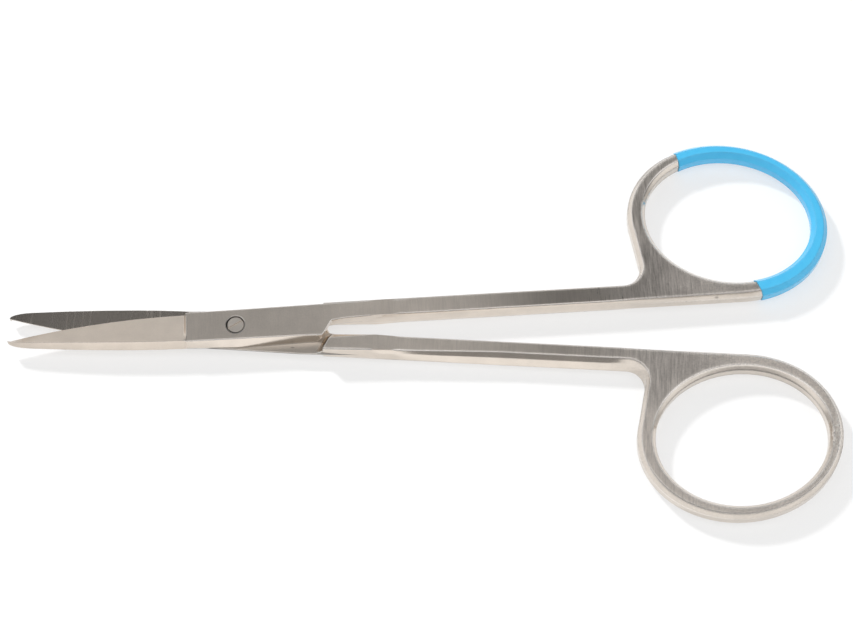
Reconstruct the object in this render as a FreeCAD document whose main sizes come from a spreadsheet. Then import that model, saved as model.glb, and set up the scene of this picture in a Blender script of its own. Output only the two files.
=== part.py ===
import FreeCAD, Part
import Sketcher
import math
import os
import re

os.makedirs("parts", exist_ok=True)
doc = FreeCAD.newDocument("iris_scissors")

# Driving sizes, mm and degrees
# Closed frame: pivot axis at the origin, blade tip towards -X, finger ring towards +X, Z = 0 between the halves
SIZES = (
    ("half_stack", 1.75),
    ("face_gap", 0.04),
    ("rest_half_angle", 3.35),
    ("lap_front", 6.75),
    ("lap_outer", 2.22),
    ("lap_inner", 2.12),
    ("flank_out", 0.83),
    ("flank_in", 0.65),
    ("shoulder_out_x", 12.1),
    ("shoulder_in_x", 13.37),
    ("shoulder_round", 1.3),
    ("lap_end_clearance", 0.1),
    ("step_out_gap", 0.3),
    ("step_in_gap", 0.27),
    ("step_in_y", 0.15),
    ("step_run", 1.9),
    ("run_out", 0.4),
    ("blade_length", 24.15),
    ("spine_root", 2.38),
    ("spine_nose", 0.68),
    ("edge_root", 2.5),
    ("tip_half", 0.05),
    ("edge_land", 0.15),
    ("crest_tip", 0.95),
    ("crest_rise", 0.75),
    ("crest_lean", 0.27),
    ("handle_half", 1.4),
    ("bevel_deep", 0.75),
    ("taper_run", 11.5),
    ("facet_run", 12.0),
    ("shank_outer", 2.9),
    ("shank_outer_far", 3.03),
    ("shank_inner", 0.25),
    ("shank_inner_far", 0.29),
    ("outer_bevel", 0.3),
    ("inner_bevel", 0.15),
    ("facet_wide", 1.05),
    ("relief_wide", 1.15),
    ("relief_deep", 1.3),
    ("neck_x", 56.1),
    ("neck_run", 2.6),
    ("neck_rise", 2.82),
    ("neck_overlap", 1.04),
    ("web_run", 1.4),
    ("web_low", 0.15),
    ("ring_long", 13.94),
    ("ring_short", 11.87),
    ("ring_tilt", -14.4),
    ("ring_rise", 0.31),
    ("ring_bevel", 0.55),
    ("band_end", 2.23),
    ("band_side", 2.12),
    ("hole_shift", 0.26),
    ("hole_rise", 0.23),
    ("hole_tilt", -12.7),
    ("coat", 0.12),
    ("screw_shank", 1.6),
    ("screw_head", 2.3),
    ("head_deep", 0.5),
    ("head_chamfer", 0.08),
    ("head_sink", 0.03),
    ("seat_gap", 0.1),
    ("running_clearance", 0.03),
    ("tight_clearance", 0.01),
    ("slot_wide", 0.33),
    ("slot_deep", 0.3),
    ("slot_angle", 32.0),
)

# Places that follow from the sizes, so that joined forms stay joined
PLACES = (
    ("blade_start", "=lap_front + run_out"),
    ("step_out_x", "=shoulder_out_x - step_out_gap"),
    ("step_in_x", "=shoulder_in_x - step_in_gap"),
    ("step_out_y", "=lap_inner + 0.5 * shank_inner"),
    ("taper_start", "=shoulder_out_x + 0.4"),
    ("taper_end", "=taper_start + taper_run"),
    ("facet_full_x", "=taper_end + facet_run"),
    ("shank_end_x", "=neck_x - neck_run"),
    ("neck_y", "=shank_outer_far + neck_rise"),
    ("neck_round", "=(neck_run ^ 2 + neck_rise ^ 2) / (2 * neck_rise)"),
    ("web_start_x", "=neck_x + web_run"),
    ("ring_x", "=neck_x - neck_overlap + ring_long"),
    ("ring_y", "=ring_short + ring_rise"),
    ("ring_left_y", "=ring_y - 0.09 * ring_long"),
    ("ring_low_x", "=ring_x + 0.0743 * ring_long"),
    ("hole_x", "=ring_x + hole_shift"),
    ("hole_y", "=ring_y + hole_rise"),
    ("hole_long", "=ring_long - band_end"),
    ("hole_short", "=ring_short - band_side"),
    ("coat_start_out_x", "=ring_x - 0.461 * ring_long"),
    ("coat_start_out_y", "=ring_y + 0.853 * ring_long"),
    ("coat_start_in_x", "=ring_x - 0.379 * ring_long"),
    ("coat_start_in_y", "=ring_y + 0.517 * ring_long"),
    ("coat_end_out_x", "=ring_x + 0.281 * ring_long"),
    ("coat_end_out_y", "=ring_y - 0.904 * ring_long"),
    ("coat_end_in_x", "=ring_x + 0.139 * ring_long"),
    ("coat_end_in_y", "=ring_y - 0.547 * ring_long"),
    ("seat_wide", "=screw_head + 2 * seat_gap"),
    ("seat_deep", "=head_deep + 0.5 * seat_gap"),
)
NAMES = set(name for name, size in SIZES + PLACES)


# Spreadsheet with one plain word for each size
def make_sheet():
    sheet = doc.addObject("Spreadsheet::Sheet", "sizes")
    for row, (name, size) in enumerate(SIZES + PLACES, 1):
        sheet.set("A%d" % row, name)
        sheet.set("B%d" % row, str(size))
        sheet.setAlias("B%d" % row, name)
    doc.recompute()
    return sheet


sheet = make_sheet()


# Expression text with each size written as the sheet knows it
def full(text):
    return re.sub(r"[a-z_]+", lambda word: "sizes." + word.group(0) if word.group(0) in NAMES else word.group(0), text)


def value(text):
    return float(sheet.evalExpression(full(text)))


# Sketch on one of the body's own planes, at a height along the plane's normal
def new_sketch(body, name, role, height="0"):
    plane = [item for item in body.Origin.OriginFeatures if item.Role == role][0]
    sketch = body.newObject("Sketcher::SketchObject", name)
    sketch.AttachmentSupport = [(plane, "")]
    sketch.MapMode = "FlatFace"
    sketch.setExpression("AttachmentOffset.Base.z", full(height))
    return sketch


# Coordinate of a sketch point tied to the sheet
def tie(sketch, kind, geometry, end, text):
    index = sketch.addConstraint(Sketcher.Constraint(kind, -1, 1, geometry, end, value(text)))
    sketch.setExpression("Constraints[%d]" % index, full(text))


def tie_length(sketch, kind, geometry, text):
    index = sketch.addConstraint(Sketcher.Constraint(kind, geometry, value(text)))
    sketch.setExpression("Constraints[%d]" % index, full(text))


# Closed outline of straight lines through points given as pairs of expressions
def polygon(sketch, points):
    spots = [FreeCAD.Vector(value(x), value(y), 0) for x, y in points]
    count = len(points)
    lines = [Part.LineSegment(spots[n], spots[(n + 1) % count]) for n in range(count)]
    sketch.addGeometry(lines, False)
    for n in range(count):
        sketch.addConstraint(Sketcher.Constraint("Coincident", n, 2, (n + 1) % count, 1))
    for n, (x, y) in enumerate(points):
        tie(sketch, "DistanceX", n, 1, x)
        tie(sketch, "DistanceY", n, 1, y)


def circle(sketch, diameter):
    number = sketch.addGeometry(Part.Circle(FreeCAD.Vector(0, 0, 0), FreeCAD.Vector(0, 0, 1), value(diameter) / 2), False)
    sketch.addConstraint(Sketcher.Constraint("Coincident", number, 3, -1, 1))
    tie_length(sketch, "Diameter", number, diameter)


# Ends of an ellipse's two half axes
def ellipse_ends(x, y, long, short, tilt):
    reach_x = "%s + (%s) * cos(%s)" % (x, long, tilt)
    reach_y = "%s + (%s) * sin(%s)" % (y, long, tilt)
    side_x = "%s - (%s) * sin(%s)" % (x, short, tilt)
    side_y = "%s + (%s) * cos(%s)" % (y, short, tilt)
    return reach_x, reach_y, side_x, side_y


def bare_ellipse(x, y, long, short, tilt):
    reach_x, reach_y, side_x, side_y = ellipse_ends(x, y, long, short, tilt)
    major = FreeCAD.Vector(value(reach_x), value(reach_y), 0)
    minor = FreeCAD.Vector(value(side_x), value(side_y), 0)
    return Part.Ellipse(major, minor, FreeCAD.Vector(value(x), value(y), 0))


# Size and place of an ellipse, or of an arc of one, tied to the sheet
def tie_ellipse(sketch, number, x, y, long, short, tilt):
    first = len(sketch.Geometry)
    sketch.exposeInternalGeometry(number)
    reach_x, reach_y, side_x, side_y = ellipse_ends(x, y, long, short, tilt)
    tie(sketch, "DistanceX", number, 3, x)
    tie(sketch, "DistanceY", number, 3, y)
    tie(sketch, "DistanceX", first, 1, reach_x)
    tie(sketch, "DistanceY", first, 1, reach_y)
    tie_length(sketch, "Distance", first + 1, "2 * (%s)" % short)


def ellipse(sketch, x, y, long, short, tilt):
    number = sketch.addGeometry(bare_ellipse(x, y, long, short, tilt), False)
    tie_ellipse(sketch, number, x, y, long, short, tilt)


# Loft through sketches of one body, added or taken away
def loft(body, kind, name, sketches, ruled):
    made = body.newObject("PartDesign::" + kind, name)
    made.Profile = (sketches[0], [""])
    made.Sections = [(item, [""]) for item in sketches[1:]]
    made.Ruled = ruled
    made.Refine = True
    doc.recompute()
    return made


def pad(body, name, sketch, length, both=False):
    made = body.newObject("PartDesign::Pad", name)
    made.Profile = (sketch, [""])
    made.Midplane = both
    made.setExpression("Length", full(length))
    doc.recompute()
    return made


def pocket(body, name, sketch, length, both=False):
    before = body.Shape.Volume
    made = body.newObject("PartDesign::Pocket", name)
    made.Profile = (sketch, [""])
    made.Midplane = both
    made.setExpression("Length", full(length))
    doc.recompute()
    if not body.Shape.Volume < before:
        raise RuntimeError("nothing was cut by " + name)
    return made


# Outline of shank, neck and ring at one level of the handle's section
def handle_outline(sketch, ring_in, outer_in, facet_in, inner_in):
    long = "ring_long - " + ring_in
    short = "ring_short - " + ring_in
    curve = bare_ellipse("ring_x", "ring_y", long, short, "ring_tilt")
    low = math.radians(-82)
    left = math.radians(199)
    arc = Part.ArcOfEllipse(curve, low, left)
    points = [
        ("web_start_x", "web_low + 0.7 * " + ring_in),
        ("shank_end_x - 1.5", "shank_inner_far + " + inner_in),
        ("facet_full_x", "0.5 * (shank_inner + shank_inner_far) + " + inner_in),
        ("shoulder_in_x", "shank_inner + " + inner_in),
        ("shoulder_out_x", "shank_outer - " + outer_in),
        ("facet_full_x", "shank_outer_far - " + facet_in),
        ("shank_end_x", "shank_outer_far - " + facet_in),
    ]
    spots = [FreeCAD.Vector(value(x), value(y), 0) for x, y in points]
    top = FreeCAD.Vector(value("neck_x + " + ring_in), value("neck_y"), 0)
    start = arc.StartPoint
    finish = arc.EndPoint
    lines = [Part.LineSegment(spots[n], spots[n + 1]) for n in range(6)]
    radius = value("neck_round + " + ring_in)
    neck = neck_arc(spots[6], top, radius)
    parts = [arc, Part.LineSegment(start, spots[0])] + lines + [neck, Part.LineSegment(top, finish)]
    sketch.addGeometry(parts, False)
    join = [(0, 1, 1, 1)]
    join += [(n, 2, n + 1, 1) for n in range(1, 8)]
    join += [(8, 2, 9, 1), (9, 2, 0, 2)]
    for first, first_end, second, second_end in join:
        sketch.addConstraint(Sketcher.Constraint("Coincident", first, first_end, second, second_end))
    for n, (x, y) in enumerate(points):
        tie(sketch, "DistanceX", n + 2 if n < 6 else 8, 1, x)
        tie(sketch, "DistanceY", n + 2 if n < 6 else 8, 1, y)
    tie(sketch, "DistanceX", 9, 1, "neck_x + " + ring_in)
    tie(sketch, "DistanceY", 9, 1, "neck_y")
    tie_length(sketch, "Radius", 8, "neck_round + " + ring_in)
    tie(sketch, "DistanceX", 0, 1, "ring_low_x")
    tie(sketch, "DistanceY", 0, 2, "ring_left_y")
    tie_ellipse(sketch, 0, "ring_x", "ring_y", long, short, "ring_tilt")


# Concave arc from the shank's outer edge up to the ring
def neck_arc(start, finish, radius):
    middle = (start + finish) * 0.5
    chord = finish - start
    side = FreeCAD.Vector(-chord.y, chord.x, 0).normalize()
    centre = middle + side * math.sqrt(radius ** 2 - chord.Length ** 2 / 4)
    first = math.atan2(start.y - centre.y, start.x - centre.x)
    last = math.atan2(finish.y - centre.y, finish.x - centre.x)
    return Part.ArcOfCircle(Part.Circle(centre, FreeCAD.Vector(0, 0, 1), radius), first, last)


# Handle as a stack of outlines: bevelled faces above and below an upright band
def handle(body, name):
    levels = (
        ("-handle_half", "ring_bevel", "0.02", "facet_wide", "inner_bevel"),
        ("-(handle_half - bevel_deep)", "0", "0", "0.5 * facet_wide", "0"),
        ("handle_half - bevel_deep", "0", "0.03", "0", "0"),
        ("handle_half", "ring_bevel", "outer_bevel + 0.1", "outer_bevel", "inner_bevel"),
    )
    sketches = []
    for n, (height, ring_in, outer_in, facet_in, inner_in) in enumerate(levels):
        sketch = new_sketch(body, "%s_level_%d" % (name, n), "XY_Plane", height)
        handle_outline(sketch, ring_in, outer_in, facet_in, inner_in)
        sketches.append(sketch)
    doc.recompute()
    return loft(body, "AdditiveLoft", name + "_handle", sketches, True)


# Finger hole with the same bevels on both faces
def finger_hole(body, name, coat="0"):
    reach = "(handle_half + coat + 0.2)"
    spread = "ring_bevel * (coat + 0.2 + bevel_deep) / bevel_deep"
    levels = (("-" + reach, spread), ("-(handle_half - bevel_deep)", "0"), ("handle_half - bevel_deep", "0"), (reach, spread))
    sketches = []
    for n, (height, wider) in enumerate(levels):
        sketch = new_sketch(body, "%s_hole_%d" % (name, n), "XY_Plane", height)
        long = "hole_long - %s + %s" % (coat, wider)
        short = "hole_short - %s + %s" % (coat, wider)
        ellipse(sketch, "hole_x", "hole_y", long, short, "hole_tilt")
        sketches.append(sketch)
    doc.recompute()
    return loft(body, "SubtractiveLoft", name + "_finger_hole", sketches, True)


# Full-thickness block behind the shoulder, tapered down to the handle's faces
def shoulder(body, name):
    sketches = []
    levels = (("-half_stack", "shank_outer - 0.03", "shank_outer - 0.55"), ("half_stack", "lap_outer + 0.16", "lap_outer + 0.28"))
    for n, (height, near, far) in enumerate(levels):
        outline = new_sketch(body, "%s_block_%d" % (name, n), "XY_Plane", height)
        polygon(outline, [
            ("shoulder_in_x", "shank_inner"),
            ("taper_end", "shank_inner + 0.2"),
            ("taper_end", far),
            ("shoulder_out_x + 0.06", near),
        ])
        sketches.append(outline)
    doc.recompute()
    loft(body, "AdditiveLoft", name + "_shoulder", sketches, True)
    side = new_sketch(body, name + "_side", "XZ_Plane")
    polygon(side, [
        ("taper_start", "half_stack"),
        ("taper_end", "handle_half"),
        ("taper_end + 0.5", "handle_half"),
        ("taper_end + 0.5", "half_stack + 1"),
        ("taper_start", "half_stack + 1"),
    ])
    pocket(body, name + "_taper_over", side, "40", True)
    under = new_sketch(body, name + "_under", "XZ_Plane")
    polygon(under, [
        ("taper_start", "-half_stack"),
        ("taper_end", "-handle_half"),
        ("taper_end + 0.5", "-handle_half"),
        ("taper_end + 0.5", "-half_stack - 1"),
        ("taper_start", "-half_stack - 1"),
    ])
    pocket(body, name + "_taper_under", under, "40", True)


# Corner behind the shoulder cut back on the inner-face side, so the other half's lap end can pass
def corner_relief(body, name):
    sketches = []
    for n, (x, wide, deep) in enumerate((("shoulder_out_x - 0.8", "relief_wide", "relief_deep"), ("taper_end - 4", "0.1 * relief_wide", "0.23 * relief_deep"))):
        sketch = new_sketch(body, "%s_relief_%d" % (name, n), "YZ_Plane", x)
        polygon(sketch, [
            ("-0.5", "-half_stack - 0.3"),
            ("shank_inner + " + wide, "-half_stack - 0.3"),
            ("shank_inner + " + wide, "-half_stack"),
            ("shank_inner", "-half_stack + " + deep),
            ("-0.5", "-half_stack + " + deep),
        ])
        sketches.append(sketch)
    doc.recompute()
    loft(body, "SubtractiveLoft", name + "_corner_relief", sketches, True)


# Half-thickness lap around the pivot, wider at its inner face, ending in a step on the mating side
def lap(body, name):
    sketches = []
    slope = "(step_in_x - step_out_x) / (step_out_y - step_in_y)"
    levels = (("face_gap / 2", "flank_out", "flank_in", "shank_outer - 0.15"), ("half_stack", "0", "0", "lap_outer + 0.25"))
    for n, (height, out, inward, back) in enumerate(levels):
        outline = new_sketch(body, "%s_lap_%d" % (name, n), "XY_Plane", height)
        polygon(outline, [
            ("0", "lap_outer + " + out),
            ("0", "-lap_inner - " + inward),
            ("9", "-lap_inner - 0.03 - 0.6 * " + inward),
            ("step_out_x - 0.4 * %s * %s" % (inward, slope), "-step_out_y - 0.4 * " + inward),
            ("step_in_x", "-step_in_y"),
            ("step_in_x + step_run", "0.4 * shank_inner"),
            ("taper_end - 4", "shank_inner + 0.05"),
            ("taper_end - 4", back),
            ("9", "lap_outer + 0.12 + " + out),
        ])
        sketches.append(outline)
    doc.recompute()
    return loft(body, "AdditiveLoft", name + "_lap", sketches, True)


# Name of the edge of a body's shape whose middle lies nearest a point
def nearest_edge(shape, x, y, z):
    spot = FreeCAD.Vector(value(x), value(y), value(z))
    best = min(range(len(shape.Edges)), key=lambda n: (middle_of(shape.Edges[n]) - spot).Length)
    return "Edge%d" % (best + 1)


def middle_of(edge):
    return edge.valueAt((edge.FirstParameter + edge.LastParameter) / 2)


def fillet(body, name, edge, radius):
    base = body.Tip
    made = body.newObject("PartDesign::Fillet", name)
    made.Base = (base, [edge])
    made.setExpression("Radius", full(radius))
    doc.recompute()
    return made


# Concave scoop between the lap's under face and the shoulder wall, seen along the shoulder
# Its arc dips a little into both faces, so it meets each at a clear angle
def scoop_section(sketch, shoulder_wall):
    level = "face_gap / 2 + 0.02 * shoulder_round"
    wall = shoulder_wall + " + 0.02 * shoulder_round"
    back = "%s - shoulder_round" % wall
    deep = level + " - shoulder_round"
    points = [(back, level), (wall, deep), (wall + " + 0.4", deep), (wall + " + 0.4", level + " + 0.3"), (back, level + " + 0.3")]
    spots = [FreeCAD.Vector(value(x), value(z), 0) for x, z in points]
    centre = FreeCAD.Vector(value(back), value(deep), 0)
    around = Part.Circle(centre, FreeCAD.Vector(0, 0, 1), value("shoulder_round"))
    arc = Part.ArcOfCircle(around, 0, math.pi / 2)
    lines = [Part.LineSegment(spots[n], spots[(n + 1) % 5]) for n in range(1, 5)]
    sketch.addGeometry([arc] + lines, False)
    for first, first_end, second, second_end in ((0, 1, 1, 1), (1, 2, 2, 1), (2, 2, 3, 1), (3, 2, 4, 1), (4, 2, 0, 2)):
        sketch.addConstraint(Sketcher.Constraint("Coincident", first, first_end, second, second_end))
    for n in range(1, 5):
        tie(sketch, "DistanceX", n, 1, points[n][0])
        tie(sketch, "DistanceY", n, 1, points[n][1])
    tie(sketch, "DistanceX", 0, 3, back)
    tie(sketch, "DistanceY", 0, 3, deep)
    tie(sketch, "DistanceX", 0, 2, back)


def shoulder_scoop(body, name):
    sketches = []
    slope = "(shoulder_out_x - shoulder_in_x) / (shank_outer - shank_inner)"
    for n, y in enumerate(("shank_inner", "(shank_outer - 0.06)")):
        sketch = new_sketch(body, "%s_scoop_%d" % (name, n), "XZ_Plane", "-" + y)
        scoop_section(sketch, "shoulder_in_x + %s * (%s - shank_inner)" % (slope, y))
        sketches.append(sketch)
    doc.recompute()
    loft(body, "AdditiveLoft", name + "_shoulder_scoop", sketches, True)


# Blade section: inner face, thin land at the cutting edge, ground face, leaning spine wall
def blade_section(sketch, edge, spine, land, crest, lean, edge_lean="0"):
    polygon(sketch, [
        (spine, "face_gap / 2"),
        (edge, "face_gap / 2"),
        ("%s - %s" % (edge, edge_lean), "face_gap / 2 + " + land),
        ("%s + %s" % (spine, lean), "face_gap / 2 + " + crest),
    ])


# Sections along the blade, u from 0 at its root to 1 at the tip, blunted over its last part
def blade_sections(body, name, places):
    sketches = []
    for n, u in enumerate(places):
        sketch = new_sketch(body, "%s_%d" % (name, n), "YZ_Plane", "-(blade_start + blade_length * %s)" % u)
        blunt = math.sqrt(1 - max(0, (u - 0.88) / 0.12) ** 2)
        edge = "edge_root * %.5f + tip_half" % (1 - u ** 2)
        spine = "-((spine_root - spine_nose) * %.5f + spine_nose * %.5f + tip_half)" % (1 - u ** 1.6, blunt)
        crest = "(crest_tip + crest_rise * %.5f)" % (1 - u ** 3)
        lean = "%s * crest_lean * %.5f" % (crest, blunt)
        blade_section(sketch, edge, spine, "edge_land", crest, lean)
        sketches.append(sketch)
    doc.recompute()
    return sketches


def blade(body, name):
    loft(body, "AdditiveLoft", name + "_blade", blade_sections(body, name + "_blade", (0, 0.22, 0.44, 0.66, 0.88)), False)
    loft(body, "AdditiveLoft", name + "_nose", blade_sections(body, name + "_nose", (0.88, 0.92, 0.95, 0.972, 0.988, 0.997, 1)), True)
    front = new_sketch(body, name + "_front_0", "YZ_Plane", "0")
    high = "(half_stack - face_gap / 2)"
    blade_section(front, "lap_outer + flank_out", "-lap_inner - flank_in", high, high, "flank_in", "flank_out")
    wall = new_sketch(body, name + "_front_1", "YZ_Plane", "-lap_front")
    blade_section(wall, "lap_outer - 0.05 + flank_out", "-(spine_root + tip_half)", high, high, "0.5 * flank_in", "flank_out")
    foot = new_sketch(body, name + "_front_2", "YZ_Plane", "-blade_start")
    blade_section(foot, "edge_root + tip_half", "-(spine_root + tip_half)", "edge_land",
                  "(crest_tip + crest_rise)", "(crest_tip + crest_rise) * crest_lean")
    doc.recompute()
    loft(body, "AdditiveLoft", name + "_front", [front, wall, foot], True)


def bore(body, name, diameter):
    sketch = new_sketch(body, name + "_bore_circle", "XY_Plane")
    circle(sketch, diameter)
    pocket(body, name + "_bore", sketch, "10", True)


# One half of the scissors in the closed frame
def half(name):
    body = doc.addObject("PartDesign::Body", name)
    handle(body, name)
    finger_hole(body, name)
    shoulder(body, name)
    lap(body, name)
    step = nearest_edge(body.Shape, "(step_out_x + step_in_x) / 2", "-(step_out_y + step_in_y) / 2", "face_gap / 2")
    fillet(body, name + "_lap_end", step, "shoulder_round - lap_end_clearance")
    shoulder_scoop(body, name)
    corner_relief(body, name)
    blade(body, name)
    return body


# Front half: lies on top, carries the sunk seat for the screw head
def front_half():
    body = half("front_half")
    bore(body, "front_half", "screw_shank + 2 * running_clearance")
    seat = new_sketch(body, "front_half_seat_circle", "XY_Plane", "half_stack")
    circle(seat, "seat_wide")
    pocket(body, "front_half_seat", seat, "seat_deep")
    place_front(body)
    return body


# Rear half: the same shape turned over under the front half
def rear_half():
    body = half("rear_half")
    bore(body, "rear_half", "screw_shank + 2 * tight_clearance")
    lean = math.radians(-value("rest_half_angle") / 2)
    axis = FreeCAD.Vector(math.cos(lean), math.sin(lean), 0)
    body.Placement = FreeCAD.Placement(FreeCAD.Vector(0, 0, 0), FreeCAD.Rotation(axis, 180))
    body.setExpression("Placement.Base.z", full("half_stack"))
    return body


def place_front(item):
    turn = FreeCAD.Rotation(FreeCAD.Vector(0, 0, 1), value("rest_half_angle"))
    item.Placement = FreeCAD.Placement(FreeCAD.Vector(0, 0, 0), turn)
    item.setExpression("Placement.Base.z", full("half_stack"))


# Slotted pivot screw, end flush with the rear half's under face
def pivot_screw():
    body = doc.addObject("PartDesign::Body", "pivot_screw")
    profile = new_sketch(body, "screw_profile", "XZ_Plane")
    polygon(profile, [
        ("0", "-half_stack"),
        ("screw_shank / 2", "-half_stack"),
        ("screw_shank / 2", "half_stack - head_sink - head_deep"),
        ("screw_head / 2", "half_stack - head_sink - head_deep"),
        ("screw_head / 2", "half_stack - head_sink - head_chamfer"),
        ("screw_head / 2 - head_chamfer", "half_stack - head_sink"),
        ("0", "half_stack - head_sink"),
    ])
    turned = body.newObject("PartDesign::Revolution", "screw_turned")
    turned.Profile = (profile, [""])
    turned.ReferenceAxis = (profile, ["V_Axis"])
    turned.Angle = 360
    doc.recompute()
    slot = new_sketch(body, "screw_slot_outline", "XY_Plane", "half_stack")
    slot.AttachmentOffset = FreeCAD.Placement(FreeCAD.Vector(0, 0, 0), FreeCAD.Rotation(FreeCAD.Vector(0, 0, 1), 30))
    slot.setExpression("AttachmentOffset.Rotation.Angle", full("slot_angle"))
    polygon(slot, [
        ("-screw_head", "-slot_wide / 2"),
        ("screw_head", "-slot_wide / 2"),
        ("screw_head", "slot_wide / 2"),
        ("-screw_head", "slot_wide / 2"),
    ])
    pocket(body, "screw_slot", slot, "slot_deep + head_sink")
    body.setExpression("Placement.Base.z", full("half_stack"))
    return body


# Outside of the coating: the ring's outlines moved out by its thickness
def coating_skin():
    body = doc.addObject("PartDesign::Body", "coating_skin")
    drop = "coat * 0.45"
    levels = (
        ("-(handle_half + coat)", "ring_bevel + " + drop),
        ("-(handle_half - bevel_deep + coat * 0.3)", "0"),
        ("handle_half - bevel_deep + coat * 0.3", "0"),
        ("handle_half + coat", "ring_bevel + " + drop),
    )
    sketches = []
    for n, (height, inward) in enumerate(levels):
        sketch = new_sketch(body, "coating_level_%d" % n, "XY_Plane", height)
        long = "ring_long + coat - (%s)" % inward
        short = "ring_short + coat - (%s)" % inward
        ellipse(sketch, "ring_x", "ring_y", long, short, "ring_tilt")
        sketches.append(sketch)
    doc.recompute()
    loft(body, "AdditiveLoft", "coating_outside", sketches, True)
    finger_hole(body, "coating", "coat")
    rest = new_sketch(body, "coating_bare_part", "XY_Plane")
    polygon(rest, [
        ("coat_start_out_x", "coat_start_out_y"),
        ("coat_start_out_x", "coat_start_out_y + 6"),
        ("ring_x - 22", "coat_start_out_y + 6"),
        ("ring_x - 22", "-6"),
        ("coat_end_out_x", "-6"),
        ("coat_end_out_x", "coat_end_out_y"),
        ("coat_end_in_x", "coat_end_in_y"),
        ("coat_start_in_x", "coat_start_in_y"),
    ])
    pocket(body, "coating_ends", rest, "20", True)
    place_front(body)
    return body


# Thin blue marking skin around the front half's ring
def ring_coating(skin, steel):
    made = doc.addObject("Part::Cut", "ring_coating")
    made.Base = skin
    made.Tool = steel
    doc.recompute()
    return made


def check(item):
    for thing in doc.Objects:
        if "Invalid" in thing.State or "Error" in thing.State:
            raise RuntimeError(thing.Name + " " + str(thing.State))
    if item.Shape.isNull() or not item.Shape.isValid() or len(item.Shape.Solids) != 1:
        raise RuntimeError(item.Name + " is not one sound solid")


def main():
    front = front_half()
    rear = rear_half()
    screw = pivot_screw()
    coating = ring_coating(coating_skin(), front)
    doc.recompute()
    for item in (front, rear, screw, coating):
        item.Label = item.Name
        check(item)
        item.Shape.exportStep("parts/%s.step" % item.Name)
        box = item.Shape.BoundBox
        print(item.Name, "%.2f mm3" % item.Shape.Volume, "faces", len(item.Shape.Faces), box)


main()
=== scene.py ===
import math
import bpy
from mathutils import Matrix, Vector

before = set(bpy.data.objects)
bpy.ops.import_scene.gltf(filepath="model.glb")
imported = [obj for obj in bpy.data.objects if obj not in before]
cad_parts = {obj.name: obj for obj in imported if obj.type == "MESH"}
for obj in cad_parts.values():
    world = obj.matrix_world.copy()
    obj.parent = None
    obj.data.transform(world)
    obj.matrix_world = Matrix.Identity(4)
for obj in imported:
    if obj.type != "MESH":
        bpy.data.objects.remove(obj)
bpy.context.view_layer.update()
print("frame loaded")


# sRGB hex to linear
def linearColour(hexCode):
    channels = [int(hexCode[n:n + 2], 16) / 255 for n in (1, 3, 5)]
    bent = [c / 12.92 if c <= 0.04045 else ((c + 0.055) / 1.055) ** 2.4 for c in channels]
    return (*bent, 1.0)


# One node with its settings. An input is a value, a socket, or a node that gives its first output
def addNode(tree, kind, settings=None, inputs=None):
    node = tree.nodes.new(kind)
    for key, item in (settings or {}).items():
        setattr(node, key, item)
    for key, item in (inputs or {}).items():
        if isinstance(item, bpy.types.Node):
            item = item.outputs[0]
        if isinstance(item, bpy.types.NodeSocket):
            tree.links.new(item, node.inputs[key])
        else:
            node.inputs[key].default_value = item
    return node


# Settings that many nodes share. A Mix takes its share at 0, levels at 2 and 3 or colours at 6 and 7,
# and gives a colour at output 2. A length or a dot product comes out at "Value".
multiply = {"operation": "MULTIPLY"}
multiplyAdd = {"operation": "MULTIPLY_ADD"}
subtract = {"operation": "SUBTRACT"}
divide = {"operation": "DIVIDE"}
larger = {"operation": "MAXIMUM"}
below = {"operation": "LESS_THAN"}
length = {"operation": "LENGTH"}
dotProduct = {"operation": "DOT_PRODUCT"}
smooth = {"interpolation_type": "SMOOTHSTEP"}
levels = {"data_type": "FLOAT"}
colours = {"data_type": "RGBA"}
mmPerMetre = 1000


def newMaterial(name):
    material = bpy.data.materials.new(name)
    material.use_nodes = True
    material.node_tree.nodes.clear()
    return material, material.node_tree


# Camera: 65 degrees above the table, from the front
camera = {
    "target": (0.0261, 0.00139, 0.00175),
    "distance": 0.320,
    "elevation": 65.0,
    "roll": -0.21,  # degrees
    "lens": 98.18,
    "sensor": 36.0,
    "clip": (0.01, 20),
}


def makeCamera(c):
    data = bpy.data.cameras.new("photoCamera")
    data.lens = c["lens"]
    data.sensor_width = c["sensor"]
    data.clip_start, data.clip_end = c["clip"]
    seat = bpy.data.objects.new("photoCamera", data)
    bpy.context.scene.collection.objects.link(seat)
    lift = math.radians(c["elevation"])
    place = Vector(c["target"]) + c["distance"] * Vector((0, -math.cos(lift), math.sin(lift)))
    tilt = Matrix.Rotation(math.radians(90 - c["elevation"]), 4, "X")
    roll = Matrix.Rotation(math.radians(c["roll"]), 4, "Z")
    seat.matrix_world = Matrix.Translation(place) @ tilt @ roll
    bpy.context.scene.camera = seat


# Light tent: soft box overhead, pale cloth behind, dark room in front, and between box and cloth
# a dark strip, which the flat tops mirror to the lens. Its sides are given by the direction's Y
# (towards the back) and Z (up), from where a zone begins to where it is full.
lightTent = {
    "boxGlow": 1.1,
    "backGlow": 0.66,
    "frontGlow": 0.28,
    "stripGlow": 0.06,
    "clothTurn": {"From Min": -0.6, "From Max": 0.3},  # Y, from front cloth to back cloth
    "boxLow": {"From Min": 0.55, "From Max": 0.80},  # Z, lower end of the box
    "boxFront": {"From Min": -0.46, "From Max": -0.22},  # Y, its front side
    "stripNear": {"From Min": 0.08, "From Max": 0.30},  # Y, near side of the dark strip
    "stripFar": {"From Min": 0.75, "From Max": 0.55},  # Y, its far side
    "stripLow": {"From Min": 0.50, "From Max": 0.70},  # Z, its lower end
}


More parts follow.
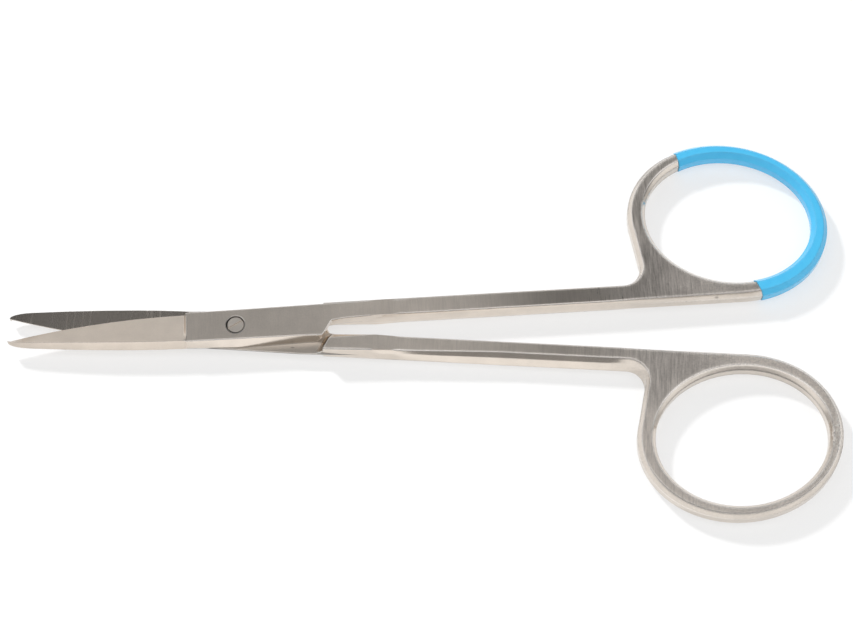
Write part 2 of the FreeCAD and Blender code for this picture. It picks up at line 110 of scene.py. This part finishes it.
def makeTent(s):
    world = bpy.data.worlds.new("lightTent")
    bpy.context.scene.world = world
    world.use_nodes = True
    tree = world.node_tree
    tree.nodes.clear()
    where = addNode(tree, "ShaderNodeTexCoord")
    sky = addNode(tree, "ShaderNodeSeparateXYZ", {}, {0: where.outputs["Generated"]}).outputs
    cloth = addNode(tree, "ShaderNodeMapRange", smooth, {"Value": sky["Y"], **s["clothTurn"]})
    level = addNode(tree, "ShaderNodeMix", levels, {0: cloth, 2: s["frontGlow"], 3: s["backGlow"]})
    boxLow = addNode(tree, "ShaderNodeMapRange", smooth, {"Value": sky["Z"], **s["boxLow"]})
    boxFront = addNode(tree, "ShaderNodeMapRange", smooth, {"Value": sky["Y"], **s["boxFront"]})
    box = addNode(tree, "ShaderNodeMath", multiply, {0: boxLow, 1: boxFront})
    level = addNode(tree, "ShaderNodeMix", levels, {0: box, 2: level, 3: s["boxGlow"]})
    near = addNode(tree, "ShaderNodeMapRange", smooth, {"Value": sky["Y"], **s["stripNear"]})
    far = addNode(tree, "ShaderNodeMapRange", smooth, {"Value": sky["Y"], **s["stripFar"]})
    strip = addNode(tree, "ShaderNodeMath", multiply, {0: near, 1: far})
    low = addNode(tree, "ShaderNodeMapRange", smooth, {"Value": sky["Z"], **s["stripLow"]})
    strip = addNode(tree, "ShaderNodeMath", multiply, {0: strip, 1: low})
    level = addNode(tree, "ShaderNodeMix", levels, {0: strip, 2: level, 3: s["stripGlow"]})
    glow = addNode(tree, "ShaderNodeBackground", {}, {"Color": (1, 1, 1, 1), "Strength": level})
    addNode(tree, "ShaderNodeOutputWorld", {}, {"Surface": glow})


# A small key lamp behind on the left, and a large fill lamp in front. Both are round and have a
# polarising sheet: they light floor and coating and leave no glare.
lampAim = (0.026, 0, 0)  # m, middle of the scissors
keyLamp = {"azimuth": 130.0, "elevation": 37.0, "distance": 0.9, "size": 0.09, "power": 5.2, "shadow": True}
fillLamp = {"towards": (0.15, -0.75, 0.64), "distance": 0.9, "size": 0.7, "power": 3.4, "shadow": False}


def makeLamp(name, towards, s):
    lamp = bpy.data.lights.new(name, "AREA")
    lamp.shape = "DISK"
    lamp.size = s["size"]
    lamp.energy = s["power"]
    lamp.use_shadow = s["shadow"]
    seat = bpy.data.objects.new(name, lamp)
    bpy.context.scene.collection.objects.link(seat)
    seat.visible_glossy = False
    towards = Vector(towards).normalized()
    place = Vector(lampAim) + s["distance"] * towards
    seat.matrix_world = Matrix.Translation(place) @ towards.to_track_quat("Z", "Y").to_matrix().to_4x4()


def makeLamps(key, fill):
    turn, lift = math.radians(key["azimuth"]), math.radians(key["elevation"])
    keyTowards = (math.cos(turn) * math.cos(lift), math.sin(turn) * math.cos(lift), math.sin(lift))
    makeLamp("keyLamp", keyTowards, key)
    makeLamp("fillLamp", fill["towards"], fill)


# White card under the scissors. Camera and mirror rays see part of it as plain white.
whiteCard = {
    "colour": "#FAFAFA",
    "half": 3.0,
    "drop": 0.00002,  # below the lowest steel, so that the two don't touch
    "glow": 1.0,
    "glowShare": 0.50,
}


def makeTable(s):
    half = s["half"]
    corners = [(-half, -half, 0), (half, -half, 0), (half, half, 0), (-half, half, 0)]
    mesh = bpy.data.meshes.new("tableTop")
    mesh.from_pydata(corners, [], [(0, 1, 2, 3)])
    table = bpy.data.objects.new("tableTop", mesh)
    bpy.context.scene.collection.objects.link(table)
    table.location.z = -s["drop"]
    material, tree = newMaterial("whiteCard")
    ray = addNode(tree, "ShaderNodeLightPath").outputs
    seen = addNode(tree, "ShaderNodeMath", larger, {0: ray["Is Camera Ray"], 1: ray["Is Glossy Ray"]})
    seen = addNode(tree, "ShaderNodeMath", larger, {0: seen, 1: ray["Is Transmission Ray"]})
    share = addNode(tree, "ShaderNodeMath", multiply, {0: seen, 1: s["glowShare"]})
    card = addNode(tree, "ShaderNodeBsdfDiffuse", {}, {"Color": linearColour(s["colour"])})
    white = addNode(tree, "ShaderNodeEmission", {}, {"Color": (1, 1, 1, 1), "Strength": s["glow"]})
    mixed = addNode(tree, "ShaderNodeMixShader", {}, {0: share, 1: card, 2: white})
    addNode(tree, "ShaderNodeOutputMaterial", {}, {"Surface": mixed})
    mesh.materials.append(material)


makeCamera(camera)
makeTent(lightTent)
makeLamps(keyLamp, fillLamp)
makeTable(whiteCard)
print("camera and studio made")


# Stainless instrument steel, forged, ground and satin polished: a warm grey mirror. A coarse satin
# lightens a flat face with the tent's light, and a finer polish lets the dark strip show.
# Stations run along the half in mm from the screw, tips at -X. Lengths are in mm.
halfSteel = {
    "colour": "#E7DED4",
    "ringColourPaintedLight": "#EAE2DA",  # rings and necks are tumbled and look less warm, and are a little lighter: painted light
    # walls have their own tones for how light falls on them: painted light on the shank walls, painted shade
    # on ring and blade walls
    "wallColourPaintedLight": "#EADFD3",
    "ringWallPaintedShade": "#DBD2C8",
    "bladeWallPaintedShade": "#E6DACD",
    "bright": "#FBF6F0",  # edges rubbed bright by wear, with a painted highlight along every edge
    "seamShadeAndFleck": "#2E2A27",  # painted shade in the seam around the screw, and the colour of the dark flecks

    # where things are on a half
    "restAngle": 3.35,  # degrees, half the opening at rest
    "middle": 1.75,  # height of the joint's middle plane
    "stations": (-40.0, 90.0),
    "bladeEnd": -6.8,  # where the ground blade starts
    "innerFace": 0.06,  # up to this height a face is the inner one
    "flatTop": {"From Min": 0.93, "From Max": 0.985},  # how upright a face counts as a top
    "neck": {"From Min": 45, "From Max": 58},  # where the shank's finish turns into the ring's
    "ringFrom": {"From Min": 7.0, "From Max": 11.0},  # off the middle line, where neck turns into ring
    "ringCentre": (69.06, 12.35, 0.0),
    "ringHalf": (12.8, 10.8, 100.0),  # middle of the ring's band
    "ringTilt": -14.4,  # degrees

    # roughness
    "wallRoughness": 0.20,
    "bladeRoughness": 0.34,
    "innerRoughness": 0.27,
    "edgeRoughness": 0.15,
    "spread": (0.05, 0.16),  # its wander, on the shank and on the tumbled ring

    # satin: grinding lines across the half and a fine grain
    "linesPerMm": (7.0, 0.35, 0.35),  # coarser than the real grinding, which is too fine to show
    "grainPerMm": 4.5,
    "lined": ((-30, 0.7), (-7, 0.7), (-3, 0.3), (12, 0.3), (26, 0.75), (60, 0.7), (68, 0.2)),
    "noiseSpan": {"From Min": 0.35, "From Max": 0.65},  # the middle part of a noise, where most of it lies
    "contrast": (0.06, 0.20),  # of the satin, on the shank and on the ring
    "wallShare": 0.35,  # walls are smoother than tops
    "bump": 0.05,
    "bladeBump": 0.02,
    "bumpDepth": 0.00005,  # m

    # strokes of the lapping stone across the blade
    "strokesPerMm": (1.9, 0.06, 0.06),
    "strokeTurn": 0.05,  # radians
    "strokeFrom": {"From Min": 0.56, "From Max": 0.68},
    "strokeShare": 0.30,

    # rubs on the ring, a net of short lines
    "rubsPerMm": 1.7,
    "rubLine": {"From Min": 0.2, "From Max": 0.05},
    "rubRoughness": 0.8,
    "rubBump": 0.6,
    "rubDepth": 0.0001,  # m

    # rounding of the edges: crisp on the blade, broken by hand on shank and rings
    "edgeRound": (
        (-7.2, 0.05), (-6.6, 0.30), (18.2, 0.30), (19.0, 0.02),
        (21.6, 0.02), (22.4, 0.40), (50, 0.42), (58, 0.60),
    ),
    "edgeTurn": {"From Min": 0.993, "From Max": 0.93},  # cosine of the turn at an edge that is rubbed bright and carries a painted highlight

    # lean of the bevels around the ring: 1 as in the solid, less leans up less, more leans up more
    "outerLean": 0.62,
    "innerLean": 3.2,
    "bandOutside": {"From Min": 0.97, "From Max": 1.0},  # parts of the way out to the band's middle
    "bandInside": {"From Min": 1.0, "From Max": 0.97},
    "ringStart": {"From Min": 50, "From Max": 56},
    "backOfRing": {"From Min": -0.1, "From Max": -0.45},  # Y of faces that look to the front

    # broad duller clouds from handling, and painted shade that darkens the tips, as shares of brightness
    "cloudsPerMm": 0.35,
    "dull": 0.93,
    "shade": ((-33, 0.70), (-29, 0.82), (-24, 0.97), (-20, 1.0)),

    # painted shade in the seam around the screw, and one dark fleck on each half
    "seamIn": {"From Min": 1.06, "From Max": 1.22},  # from the screw's axis
    "seamOut": {"From Min": 1.50, "From Max": 1.22},
    "seamSide": (-0.8, -0.6, 0),  # the side on which it is thick
    "seamShare": {"From Min": -1.0, "From Max": 0.8, "To Min": 0.35},
    "fleckHalf": (0.34, 0.14, 0.4),
    "fleckShare": 0.35,
}
# The two halves were polished apart, so each has its own roughness along the tops, lean of the
# shank's bevels, rubs and fleck
frontSatin = {
    "faces": (
        (0, 0.42), (10, 0.42), (16, 0.52), (28, 0.50), (35, 0.40),
        (43, 0.29), (50, 0.29), (58, 0.34), (65, 0.42), (75, 0.37),
    ),
    "ring": 0.37,
    "lean": ((0, 1.0), (57, 1.0)),
    "rubAt": (82.6, 9.0, 0.0),
    "rubHalf": (0.4, 0.8, 9.0),
    "fleckAt": (66.2, 0.34, 0.95),
}
rearSatin = {
    "faces": (
        (0, 0.42), (16, 0.44), (26, 0.50), (35, 0.44), (45, 0.35),
        (55, 0.40), (65, 0.42), (71, 0.59), (80, 0.62),
    ),
    "ring": 0.59,
    "lean": ((19, 1.0), (23, 1.9), (28, 1.8), (32, 1.45), (36, 1.3), (50, 1.2), (57, 1.05)),
    "rubAt": (81.9, 11.6, 0.0),
    "rubHalf": (0.75, 3.2, 9.0),
    "fleckAt": (7.89, 2.22, 0.02),
}


# Coordinates in mm in the half's own closed frame, tip towards -X, and the kinds of place on it
def readPlace(tree, side, s):
    where = addNode(tree, "ShaderNodeTexCoord")
    flip = side * mmPerMetre
    local = addNode(tree, "ShaderNodeMapping", {"vector_type": "POINT"}, {
        "Vector": where.outputs["Object"], "Scale": (mmPerMetre, flip, flip),
        "Rotation": (0, 0, math.radians(-s["restAngle"])), "Location": (0, 0, -side * s["middle"]),
    })
    at = addNode(tree, "ShaderNodeSeparateXYZ", {}, {0: local}).outputs
    facing = addNode(tree, "ShaderNodeSeparateXYZ", {}, {0: where.outputs["Normal"]}).outputs
    upright = addNode(tree, "ShaderNodeMath", {"operation": "ABSOLUTE"}, {0: facing["Z"]})
    return {
        "local": local,
        "x": at["X"],
        "y": at["Y"],
        "facingY": facing["Y"],
        "flat": addNode(tree, "ShaderNodeMapRange", smooth, {"Value": upright, **s["flatTop"]}),
        "blade": addNode(tree, "ShaderNodeMath", below, {0: at["X"], 1: s["bladeEnd"]}),
        "inner": addNode(tree, "ShaderNodeMath", below, {0: at["Z"], 1: s["innerFace"]}),
        "nearRing": addNode(tree, "ShaderNodeMapRange", smooth, {"Value": at["X"], **s["neck"]}),
    }


# A value that changes from station to station along the half
def alongHalf(tree, x, stops, s):
    first, last = s["stations"]
    share = addNode(tree, "ShaderNodeMapRange", {}, {"Value": x, "From Min": first, "From Max": last})
    ramp = addNode(tree, "ShaderNodeValToRGB", {}, {0: share})
    dots = ramp.color_ramp.elements
    while len(dots) < len(stops):
        dots.new(0.5)
    for dot, (station, value) in zip(dots, stops):
        dot.position = (station - first) / (last - first)
        dot.color = (value, value, value, 1)
    return ramp


# 1 in the middle of an oval place, 0 outside it
def spot(tree, local, centre, half):
    away = addNode(tree, "ShaderNodeVectorMath", subtract, {0: local, 1: centre})
    away = addNode(tree, "ShaderNodeVectorMath", divide, {0: away, 1: half})
    away = addNode(tree, "ShaderNodeVectorMath", length, {0: away})
    return addNode(tree, "ShaderNodeMapRange", smooth, {
        "Value": away.outputs["Value"], "From Min": 1.0, "From Max": 0.6,
    })


# Grinding lines on the flat tops and fine grain elsewhere
def satinPattern(tree, at, s):
    across = addNode(tree, "ShaderNodeMapping", {}, {"Vector": at["local"], "Scale": s["linesPerMm"]})
    lines = addNode(tree, "ShaderNodeTexNoise", {}, {
        "Vector": across, "Scale": 1.0, "Detail": 3.0, "Roughness": 0.6,
    })
    grain = addNode(tree, "ShaderNodeTexNoise", {}, {
        "Vector": at["local"], "Scale": s["grainPerMm"], "Detail": 4.0, "Roughness": 0.7,
    })
    lined = alongHalf(tree, at["x"], s["lined"], s)
    lined = addNode(tree, "ShaderNodeMath", multiply, {0: at["flat"], 1: lined})
    return addNode(tree, "ShaderNodeMix", levels, {0: lined, 2: grain, 3: lines})


# Short bright lines where the ring has rubbed against others
def ringRubs(tree, at, satin, s):
    rubbed = spot(tree, at["local"], satin["rubAt"], satin["rubHalf"])
    cells = addNode(tree, "ShaderNodeTexVoronoi", {"feature": "DISTANCE_TO_EDGE"}, {
        "Vector": at["local"], "Scale": s["rubsPerMm"],
    })
    line = addNode(tree, "ShaderNodeMapRange", smooth, {"Value": cells.outputs["Distance"], **s["rubLine"]})
    return addNode(tree, "ShaderNodeMath", multiply, {0: rubbed, 1: line})


# Roughness of walls, tops and ring, of the ground blade and of its lapped inner face
def satinRoughness(tree, at, swing, satin, s):
    onRing = addNode(tree, "ShaderNodeMapRange", smooth, {"Value": at["y"], **s["ringFrom"]})
    tops = alongHalf(tree, at["x"], satin["faces"], s)
    tops = addNode(tree, "ShaderNodeMix", levels, {0: onRing, 2: tops, 3: satin["ring"]})
    rough = addNode(tree, "ShaderNodeMix", levels, {0: at["flat"], 2: s["wallRoughness"], 3: tops})
    rough = addNode(tree, "ShaderNodeMix", levels, {0: at["blade"], 2: rough, 3: s["bladeRoughness"]})
    lapped = addNode(tree, "ShaderNodeMath", multiply, {0: at["blade"], 1: at["inner"]})
    rough = addNode(tree, "ShaderNodeMix", levels, {0: lapped, 2: rough, 3: s["innerRoughness"]})

    # off the blade it wanders with the satin, and the blade has strokes of the lapping stone
    onShank, onRing = s["spread"]
    wander = addNode(tree, "ShaderNodeMix", levels, {0: at["nearRing"], 2: onShank, 3: onRing})
    wander = addNode(tree, "ShaderNodeMath", multiply, {0: wander, 1: swing})
    handle = addNode(tree, "ShaderNodeMath", subtract, {0: 1.0, 1: at["blade"]})
    wander = addNode(tree, "ShaderNodeMath", multiply, {0: wander, 1: handle})
    strokes = addNode(tree, "ShaderNodeMapping", {}, {
        "Vector": at["local"], "Scale": s["strokesPerMm"], "Rotation": (0, 0, s["strokeTurn"]),
    })
    strokes = addNode(tree, "ShaderNodeTexNoise", {}, {
        "Vector": strokes, "Scale": 1.0, "Detail": 3.0, "Roughness": 0.7,
    })
    strokes = addNode(tree, "ShaderNodeMapRange", smooth, {"Value": strokes, **s["strokeFrom"]})
    strokes = addNode(tree, "ShaderNodeMath", multiply, {0: strokes, 1: s["strokeShare"]})
    strokes = addNode(tree, "ShaderNodeMath", multiply, {0: strokes, 1: at["blade"]})
    wander = addNode(tree, "ShaderNodeMath", {"operation": "ADD"}, {0: wander, 1: strokes})
    return addNode(tree, "ShaderNodeMath", multiplyAdd, {0: rough, 1: wander, 2: rough})


# Normal with rounded edges, and how much of an edge a place is, where the colour is rubbed bright by wear and
# carries a painted highlight
def roundWornAndHighlitEdges(tree, at, s):
    radius = alongHalf(tree, at["x"], s["edgeRound"], s)
    radius = addNode(tree, "ShaderNodeMath", multiply, {0: radius, 1: 1 / mmPerMetre})
    soft = addNode(tree, "ShaderNodeBevel", {"samples": 8}, {"Radius": radius})
    crisp = addNode(tree, "ShaderNodeNewGeometry").outputs["True Normal"]
    turned = addNode(tree, "ShaderNodeVectorMath", dotProduct, {0: soft, 1: crisp}).outputs["Value"]
    edge = addNode(tree, "ShaderNodeMapRange", smooth, {"Value": turned, **s["edgeTurn"]})
    return soft, edge


# The bevels were ground by hand and lean more or less than in the solid
def leanBevels(tree, at, soft, satin, s):
    halved = [(station, 0.5 * value) for station, value in satin["lean"]]  # a ramp ends at 1
    lean = alongHalf(tree, at["x"], halved, s)
    lean = addNode(tree, "ShaderNodeMath", multiply, {0: lean, 1: 2.0})
    away = addNode(tree, "ShaderNodeVectorMath", subtract, {0: at["local"], 1: s["ringCentre"]})
    away = addNode(tree, "ShaderNodeMapping", {}, {
        "Vector": away, "Rotation": (0, 0, math.radians(-s["ringTilt"])),
    })
    away = addNode(tree, "ShaderNodeVectorMath", divide, {0: away, 1: s["ringHalf"]})
    away = addNode(tree, "ShaderNodeVectorMath", length, {0: away}).outputs["Value"]
    outside = addNode(tree, "ShaderNodeMapRange", smooth, {"Value": away, **s["bandOutside"]})
    ringStart = addNode(tree, "ShaderNodeMapRange", smooth, {"Value": at["x"], **s["ringStart"]})
    outside = addNode(tree, "ShaderNodeMath", multiply, {0: outside, 1: ringStart})
    lean = addNode(tree, "ShaderNodeMix", levels, {0: outside, 2: lean, 3: s["outerLean"]})
    inside = addNode(tree, "ShaderNodeMapRange", smooth, {"Value": away, **s["bandInside"]})
    back = addNode(tree, "ShaderNodeMapRange", smooth, {"Value": at["facingY"], **s["backOfRing"]})
    inside = addNode(tree, "ShaderNodeMath", multiply, {0: inside, 1: back})
    lean = addNode(tree, "ShaderNodeMix", levels, {0: inside, 2: lean, 3: s["innerLean"]})
    stretch = addNode(tree, "ShaderNodeCombineXYZ", {}, {0: 1.0, 1: 1.0, 2: lean})
    leant = addNode(tree, "ShaderNodeVectorMath", multiply, {0: soft, 1: stretch})
    return addNode(tree, "ShaderNodeVectorMath", {"operation": "NORMALIZE"}, {0: leant})


# Colour of tops, walls and edges, times a tone from clouds, satin and tips. Walls carry painted light and
# shade, edges wear and a painted highlight, and the darker tips painted shade
def satinColour(tree, at, swing, wornAndHighlit, s):
    cloud = addNode(tree, "ShaderNodeTexNoise", {}, {
        "Vector": at["local"], "Scale": s["cloudsPerMm"], "Detail": 3.0, "Roughness": 0.5,
    })
    tone = addNode(tree, "ShaderNodeMapRange", {}, {"Value": cloud, **s["noiseSpan"], "To Min": s["dull"]})
    onShank, onRing = s["contrast"]
    fine = addNode(tree, "ShaderNodeMix", levels, {0: at["nearRing"], 2: onShank, 3: onRing})
    fine = addNode(tree, "ShaderNodeMath", multiply, {0: swing, 1: fine})
    onTops = addNode(tree, "ShaderNodeMix", levels, {0: at["flat"], 2: s["wallShare"], 3: 1.0})
    fine = addNode(tree, "ShaderNodeMath", multiply, {0: fine, 1: onTops})
    tone = addNode(tree, "ShaderNodeMath", multiplyAdd, {0: tone, 1: fine, 2: tone})
    # painted shade: darker towards the tips
    shade = alongHalf(tree, at["x"], s["shade"], s)
    tone = addNode(tree, "ShaderNodeMath", multiply, {0: tone, 1: shade})

    # ring tops: a tumbled tint with painted light
    top = addNode(tree, "ShaderNodeMix", colours, {
        0: at["nearRing"], 6: linearColour(s["colour"]), 7: linearColour(s["ringColourPaintedLight"]),
    })
    # painted light and shade: each kind of wall gets its own tone
    wall = addNode(tree, "ShaderNodeMix", colours, {
        0: at["nearRing"], 6: linearColour(s["wallColourPaintedLight"]), 7: linearColour(s["ringWallPaintedShade"]),
    })
    wall = addNode(tree, "ShaderNodeMix", colours, {
        0: at["blade"], 6: wall.outputs[2], 7: linearColour(s["bladeWallPaintedShade"]),
    })
    colour = addNode(tree, "ShaderNodeMix", colours, {0: at["flat"], 6: wall.outputs[2], 7: top.outputs[2]})
    colour = addNode(tree, "ShaderNodeMix", colours, {
        0: wornAndHighlit, 6: colour.outputs[2], 7: linearColour(s["bright"]),
    })
    return addNode(tree, "ShaderNodeVectorMath", {"operation": "SCALE"}, {0: colour.outputs[2], "Scale": tone})


# Painted shade in the seam around the screw, thick on one side, and one dark fleck on each half
def seamShadeAndFleckShare(tree, at, satin, s):
    ground = addNode(tree, "ShaderNodeCombineXYZ", {}, {0: at["x"], 1: at["y"]})
    away = addNode(tree, "ShaderNodeVectorMath", length, {0: ground}).outputs["Value"]
    seamIn = addNode(tree, "ShaderNodeMapRange", smooth, {"Value": away, **s["seamIn"]})
    seamOut = addNode(tree, "ShaderNodeMapRange", smooth, {"Value": away, **s["seamOut"]})
    seam = addNode(tree, "ShaderNodeMath", multiply, {0: seamIn, 1: seamOut})
    side = addNode(tree, "ShaderNodeVectorMath", dotProduct, {0: ground, 1: s["seamSide"]}).outputs["Value"]
    thick = addNode(tree, "ShaderNodeMapRange", {}, {"Value": side, **s["seamShare"]})
    seam = addNode(tree, "ShaderNodeMath", multiply, {0: seam, 1: thick})
    fleck = spot(tree, at["local"], satin["fleckAt"], s["fleckHalf"])
    fleck = addNode(tree, "ShaderNodeMath", multiply, {0: fleck, 1: s["fleckShare"]})
    return addNode(tree, "ShaderNodeMath", larger, {0: seam, 1: fleck})


def makeHalfSteel(name, side, satin, s):
    material, tree = newMaterial(name)
    at = readPlace(tree, side, s)
    pattern = satinPattern(tree, at, s)
    swing = addNode(tree, "ShaderNodeMapRange", {}, {"Value": pattern, **s["noiseSpan"], "To Min": -1.0})
    rubs = ringRubs(tree, at, satin, s)
    soft, edge = roundWornAndHighlitEdges(tree, at, s)
    leant = leanBevels(tree, at, soft, satin, s)

    rough = satinRoughness(tree, at, swing, satin, s)
    rough = addNode(tree, "ShaderNodeMix", levels, {0: rubs, 2: rough, 3: s["rubRoughness"]})
    rough = addNode(tree, "ShaderNodeMix", levels, {0: edge, 2: rough, 3: s["edgeRoughness"]})
    # edges and rubs take the bright colour: wear, and along the edges a painted highlight
    wornAndHighlit = addNode(tree, "ShaderNodeMath", larger, {0: edge, 1: rubs})
    colour = satinColour(tree, at, swing, wornAndHighlit, s)
    # painted shade in the seam around the screw, and the dark flecks
    seamShadeAndFleck = seamShadeAndFleckShare(tree, at, satin, s)
    colour = addNode(tree, "ShaderNodeMix", colours, {0: seamShadeAndFleck, 6: colour, 7: linearColour(s["seamShadeAndFleck"])})
    strength = addNode(tree, "ShaderNodeMix", levels, {0: at["blade"], 2: s["bump"], 3: s["bladeBump"]})
    bump = addNode(tree, "ShaderNodeBump", {}, {
        "Strength": strength, "Distance": s["bumpDepth"], "Height": pattern, "Normal": leant,
    })
    bump = addNode(tree, "ShaderNodeBump", {}, {
        "Strength": s["rubBump"], "Distance": s["rubDepth"], "Height": rubs, "Normal": bump,
    })
    steel = addNode(tree, "ShaderNodeBsdfPrincipled", {}, {
        "Base Color": colour.outputs[2], "Metallic": 1.0, "Roughness": rough, "Normal": bump,
    })
    addNode(tree, "ShaderNodeOutputMaterial", {}, {"Surface": steel})
    return material


# Turned screw steel, a little brighter than the halves, its head brushed along the slot
screwSteel = {
    "colour": "#ECE4DB",
    "roughness": (0.36, 0.52),
    "noiseSpan": {"From Min": 0.3, "From Max": 0.7},
    "brushedTurn": -32,  # degrees
    "linesPerMm": (0.8, 9.0, 0.8),
    "edgeRound": 0.00006,  # m
    "bump": 0.12,
    "bumpDepth": 0.00005,  # m
}


def makeScrewSteel(s):
    material, tree = newMaterial("turnedScrewSteel")
    where = addNode(tree, "ShaderNodeTexCoord")
    local = addNode(tree, "ShaderNodeMapping", {"vector_type": "POINT"}, {
        "Vector": where.outputs["Object"], "Scale": (mmPerMetre, mmPerMetre, mmPerMetre),
        "Rotation": (0, 0, math.radians(s["brushedTurn"])),
    })
    across = addNode(tree, "ShaderNodeMapping", {}, {"Vector": local, "Scale": s["linesPerMm"]})
    lines = addNode(tree, "ShaderNodeTexNoise", {}, {
        "Vector": across, "Scale": 1.0, "Detail": 3.0, "Roughness": 0.6,
    })
    least, most = s["roughness"]
    rough = addNode(tree, "ShaderNodeMapRange", {}, {
        "Value": lines, **s["noiseSpan"], "To Min": least, "To Max": most,
    })
    soft = addNode(tree, "ShaderNodeBevel", {"samples": 6}, {"Radius": s["edgeRound"]})
    bump = addNode(tree, "ShaderNodeBump", {}, {
        "Strength": s["bump"], "Distance": s["bumpDepth"], "Height": lines, "Normal": soft,
    })
    steel = addNode(tree, "ShaderNodeBsdfPrincipled", {}, {
        "Base Color": linearColour(s["colour"]), "Metallic": 1.0, "Roughness": rough, "Normal": bump,
    })
    addNode(tree, "ShaderNodeOutputMaterial", {}, {"Surface": steel})
    return material


# Epoxy marking skin, dipped and cured: even light blue with a soft gloss
ringSkin = {
    "colour": "#56C0EC",
    "deep": "#4CB7E8",
    "roughness": 0.17,
    "ior": 1.5,
    "ripplesPerMm": 0.9,
    "edgeRound": 0.00035,  # m
    "bump": 0.05,
    "bumpDepth": 0.0001,  # m
}


def makeRingSkin(s):
    material, tree = newMaterial("blueEpoxySkin")
    where = addNode(tree, "ShaderNodeTexCoord")
    local = addNode(tree, "ShaderNodeMapping", {"vector_type": "POINT"}, {
        "Vector": where.outputs["Object"], "Scale": (mmPerMetre, mmPerMetre, mmPerMetre),
    })
    ripple = addNode(tree, "ShaderNodeTexNoise", {}, {
        "Vector": local, "Scale": s["ripplesPerMm"], "Detail": 2.0,
    })
    colour = addNode(tree, "ShaderNodeMix", colours, {
        0: ripple, 6: linearColour(s["colour"]), 7: linearColour(s["deep"]),
    })
    soft = addNode(tree, "ShaderNodeBevel", {"samples": 6}, {"Radius": s["edgeRound"]})
    bump = addNode(tree, "ShaderNodeBump", {}, {
        "Strength": s["bump"], "Distance": s["bumpDepth"], "Height": ripple, "Normal": soft,
    })
    skin = addNode(tree, "ShaderNodeBsdfPrincipled", {}, {
        "Base Color": colour.outputs[2], "Roughness": s["roughness"], "IOR": s["ior"], "Normal": bump,
    })
    addNode(tree, "ShaderNodeOutputMaterial", {}, {"Surface": skin})
    return material


def dress(node, material):
    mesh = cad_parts[node].data
    mesh.materials.clear()
    mesh.materials.append(material)


dress("front_half", makeHalfSteel("satinSteelFront", 1, frontSatin, halfSteel))
dress("rear_half", makeHalfSteel("satinSteelRear", -1, rearSatin, halfSteel))
dress("pivot_screw", makeScrewSteel(screwSteel))
dress("ring_coating", makeRingSkin(ringSkin))
print("materials made")

bpy.context.scene.view_settings.view_transform = "Standard"
